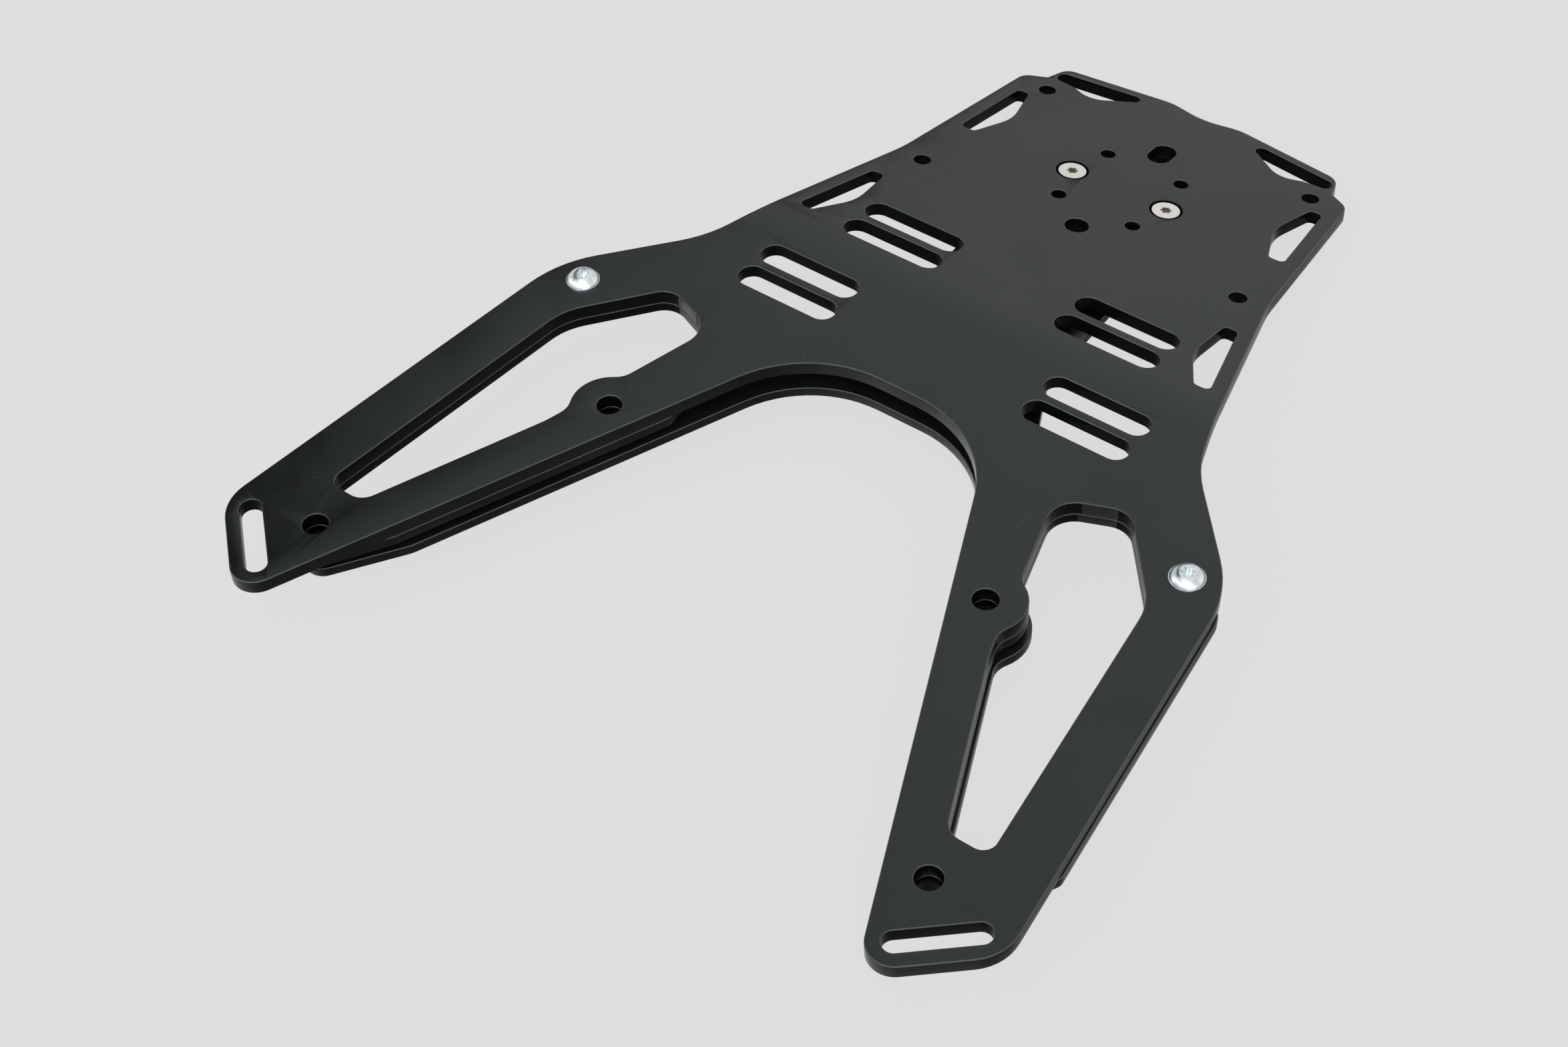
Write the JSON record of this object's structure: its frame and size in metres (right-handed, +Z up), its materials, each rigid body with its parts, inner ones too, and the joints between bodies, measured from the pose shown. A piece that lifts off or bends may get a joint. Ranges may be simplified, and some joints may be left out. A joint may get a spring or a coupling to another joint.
{
  "type": "motorcycle luggage rack",
  "caption": "Flat black motorcycle luggage rack: a folded slotted deck with splayed windowed arms on a lower plate, held by screws.",
  "frame": {"origin": "midway between the two rear bolt holes, on the underside of the lower plate", "axes": "+X to the right as seen from behind the rack's front looking to its rear, +Y to the rear along the level arms, +Z up, square to the arms"},
  "size_m": [0.4536, 0.5917, 0.05],
  "materials": {
    "black_coat": "satin black coating on aluminium",
    "turned_steel": "plain stainless steel with fine turning marks",
    "zinc_steel": "bright blue-white zinc plate"
  },
  "bodies": {
    "root": {"top_plate": "black_coat", "arm_plate_left": "black_coat", "arm_plate_right": "black_coat", "lower_plate": "black_coat", "spacer_ring_front_left": "black_coat", "spacer_ring_front_right": "black_coat", "spacer_ring_rear_left": "black_coat", "spacer_ring_rear_right": "black_coat", "countersunk_screw_left": "turned_steel", "countersunk_screw_right": "turned_steel", "washer_left": "turned_steel", "washer_right": "turned_steel", "hex_nut_left": "turned_steel", "hex_nut_right": "turned_steel", "button_screw_left": "zinc_steel", "button_screw_right": "zinc_steel", "flange_nut_left": "zinc_steel", "flange_nut_right": "zinc_steel"}
  },
  "joints": []
}
